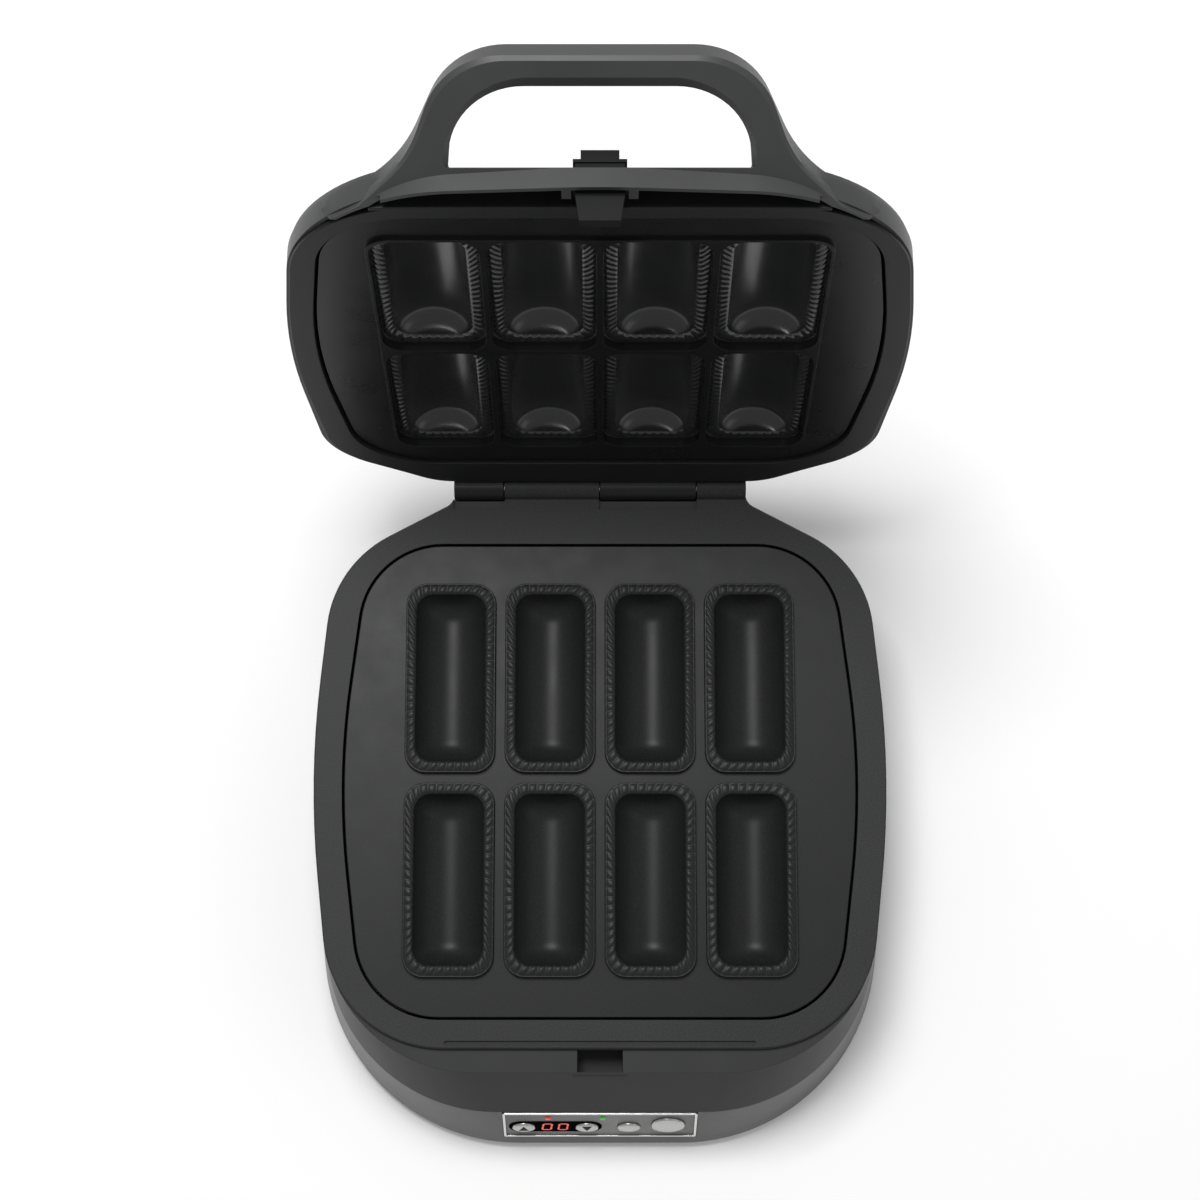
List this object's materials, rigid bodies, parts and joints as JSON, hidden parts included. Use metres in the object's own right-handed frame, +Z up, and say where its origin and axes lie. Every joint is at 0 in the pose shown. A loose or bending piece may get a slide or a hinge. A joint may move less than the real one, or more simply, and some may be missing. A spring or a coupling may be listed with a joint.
{
  "type": "electric pie maker",
  "caption": "Low electric pie maker standing open: hinged lid with a loop handle and front latch, cast roll moulds above and below, sloping control panel.",
  "frame": {"origin": "on the table under the middle of the open pie maker's bounding box", "axes": "+X to the pie maker's left as it faces the user, which is the right of the picture; +Y from front to back; +Z up"},
  "size_m": [0.3188, 0.4636, 0.4205],
  "materials": {
    "textured_black": "fine spark-eroded texture, satin",
    "cover_black": "smooth satin",
    "silver_grey": "satin silver-grey moulding",
    "cooking_coating": "non-stick coated cast metal, semi-gloss",
    "panel_grey": "brushed dark film",
    "chrome_trim": "polished trim",
    "button_silver": "metallised plastic",
    "display_black": "smoked window",
    "lamp_red": "translucent red lens",
    "lamp_green": "translucent green lens",
    "rubber_black": "matt",
    "steel": "bright drawn",
    "reflector_aluminium": "plain sheet",
    "element_sheath": "heat-stained sheath",
    "board_green": "glass-filled laminate",
    "component_dark": "moulded housings"
  },
  "bodies": {
    "base": {"base_rim_frame": "textured_black", "base_upper_housing": "textured_black", "base_lower_shell": "silver_grey", "foot_rear_right": "rubber_black", "foot_rear_left": "rubber_black", "foot_front_right": "rubber_black", "foot_front_left": "rubber_black", "lower_cooking_plate": "cooking_coating", "lower_heating_element": "element_sheath", "lower_reflector_tray": "reflector_aluminium", "lower_temperature_sensor": "steel", "panel_bezel": "chrome_trim", "panel_fascia": "panel_grey", "display_window": "display_black", "heating_lamp": "lamp_red", "ready_lamp": "lamp_green", "control_board": "board_green", "key_switches": "component_dark", "display_module": "component_dark", "hinge_pin": "steel", "power_board": "board_green", "mains_relay": "component_dark", "transformer": "component_dark", "cord_gland": "rubber_black"},
    "lid": {"lid_top_cover": "cover_black", "handle_under_cover": "cover_black", "lid_inner_frame": "textured_black", "upper_cooking_plate": "cooking_coating", "upper_heating_element": "element_sheath", "upper_reflector": "reflector_aluminium", "upper_temperature_sensor": "steel", "thermal_fuse": "steel", "latch_pin": "steel"},
    "latch": {"latch_lever": "cover_black"},
    "time_up_button_body": {"time_up_button": "button_silver"},
    "time_down_button_body": {"time_down_button": "button_silver"},
    "extra_time_button_body": {"extra_time_button": "button_silver"},
    "start_button_body": {"start_button": "button_silver"}
  },
  "joints": [
    {"name": "lid_hinge", "type": "hinge", "parent": "base", "child": "lid", "pos_m": [0, 0.116, 0.08], "axis": [1, 0, 0], "range_deg": [0, 101]},
    {"name": "latch_pivot", "type": "hinge", "parent": "lid", "child": "latch", "pos_m": [0, 0.18048, 0.37766], "axis": [1, 0, 0], "range_deg": [0, 9]},
    {"name": "time_up_button_press", "type": "slide", "parent": "base", "child": "time_up_button_body", "axis": [0, 0.9308, -0.3657], "range_m": [0, 0.0012], "stiffness_N_per_m": 300, "springref_m": -0.001},
    {"name": "time_down_button_press", "type": "slide", "parent": "base", "child": "time_down_button_body", "axis": [0, 0.9308, -0.3657], "range_m": [0, 0.0012], "stiffness_N_per_m": 300, "springref_m": -0.001},
    {"name": "extra_time_button_press", "type": "slide", "parent": "base", "child": "extra_time_button_body", "axis": [0, 0.9308, -0.3657], "range_m": [0, 0.0012], "stiffness_N_per_m": 300, "springref_m": -0.001},
    {"name": "start_button_press", "type": "slide", "parent": "base", "child": "start_button_body", "axis": [0, 0.9308, -0.3657], "range_m": [0, 0.0012], "stiffness_N_per_m": 300, "springref_m": -0.001}
  ]
}
